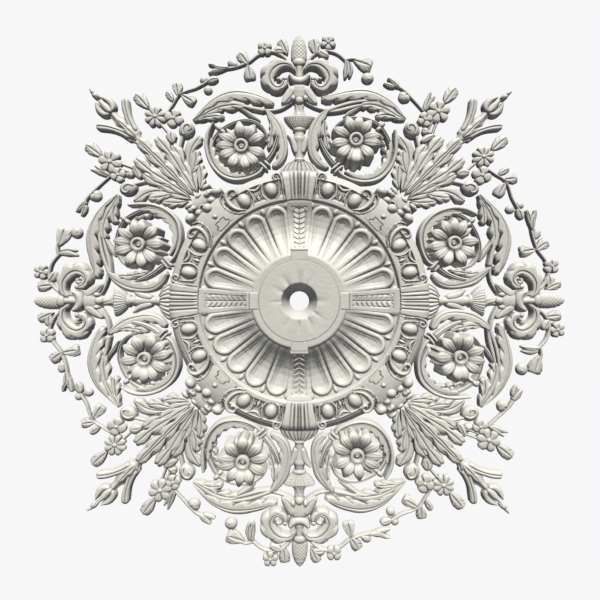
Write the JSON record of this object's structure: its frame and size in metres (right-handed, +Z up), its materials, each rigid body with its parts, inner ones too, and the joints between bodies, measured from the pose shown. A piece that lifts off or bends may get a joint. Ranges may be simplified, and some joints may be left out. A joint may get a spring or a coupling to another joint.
{
  "type": "ceiling rose",
  "caption": "Large round openwork plaster ceiling rose with a fluted centre, egg-and-clasp frame, acanthus scrolls, rosettes and flower sprays round a central cable hole.",
  "frame": {"origin": "centre of the flat back, in the ceiling plane, on the axis of the central hole", "axes": "+Z up into the ceiling; the relief stands down towards -Z; +X and +Y run through two of the four tall candelabra"},
  "size_m": [1.1984, 1.1982, 0.1],
  "materials": {
    "plaster": "matt cast plaster"
  },
  "bodies": {
    "root": {"ceiling_rose": "plaster"}
  },
  "joints": []
}
